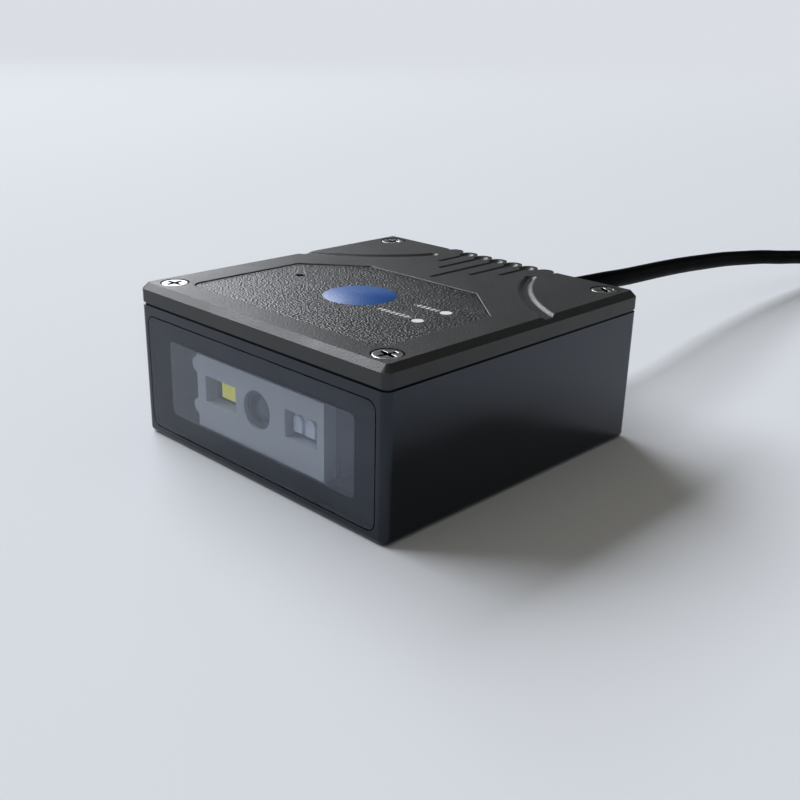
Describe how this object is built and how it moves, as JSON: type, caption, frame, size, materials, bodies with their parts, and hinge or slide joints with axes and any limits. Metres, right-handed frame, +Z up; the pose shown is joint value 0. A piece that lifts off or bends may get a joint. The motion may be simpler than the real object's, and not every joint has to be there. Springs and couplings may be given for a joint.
{
  "type": "fixed barcode reader",
  "caption": "Small square fixed barcode reader: dark two-part case, clear scan window over lamp, lens and aimer, grooved cover with a grained film, and a USB lead from the rear.",
  "frame": {"origin": "middle of the case's underside", "axes": "+Z up through the cover, -Y out of the scan window, +Y the way the lead leaves, +X to the right as the cover is read from the window side"},
  "size_m": [0.0776, 0.2391, 0.0226],
  "materials": {
    "case_plastic": "smooth satin",
    "cover_plastic": "fine spark-eroded texture",
    "label_film": "coarse speckled grain",
    "nickel_steel": "nickel plated",
    "clear_acrylic": "polished",
    "black_adhesive": "matt",
    "engine_plastic": "matt",
    "dark_board": "solder mask",
    "lamp_phosphor": "matt",
    "clear_lens": "polished",
    "lens_glass": "coated",
    "circuit_board": "solder mask",
    "sensor_glass": "polished",
    "chip_epoxy": "matt",
    "lamp_white": "polished",
    "frosted_pipe": "frosted",
    "ivory_nylon": "satin",
    "ribbon_film": "satin",
    "wire_insulation": "satin",
    "black_rubber": "matt",
    "insert_brass": "turned",
    "cable_jacket": "satin",
    "tie_strap": "matt",
    "plug_mould": "satin",
    "plug_steel": "bright plated",
    "plug_insulator": "satin"
  },
  "bodies": {
    "root": {"base_housing": "case_plastic", "top_cover": "cover_plastic", "overlay_film": "label_film", "cover_screws": "nickel_steel", "scan_window": "clear_acrylic", "window_frame": "black_adhesive", "engine_bezel": "engine_plastic", "lamp_board": "dark_board", "illumination_lamp": "lamp_phosphor", "aimer_lens": "clear_lens", "lens_barrel": "engine_plastic", "camera_lens": "lens_glass", "optics_chassis": "engine_plastic", "sensor_board": "circuit_board", "image_sensor": "sensor_glass", "engine_screws": "nickel_steel", "main_board": "circuit_board", "board_screws": "nickel_steel", "decoder_chip": "chip_epoxy", "sounder": "chip_epoxy", "status_lamps": "lamp_white", "light_pipe": "frosted_pipe", "engine_socket": "ivory_nylon", "board_socket": "ivory_nylon", "flat_ribbon": "ribbon_film", "harness_header": "ivory_nylon", "harness_plug": "ivory_nylon", "harness_wires": "wire_insulation", "cable_grommet": "black_rubber", "mount_inserts": "insert_brass", "cable_lead": "cable_jacket", "cable_coil": "cable_jacket", "coil_ties": "tie_strap", "cable_tail": "cable_jacket", "plug_grip": "plug_mould", "plug_shell": "plug_steel", "plug_tongue": "plug_insulator"}
  },
  "joints": []
}
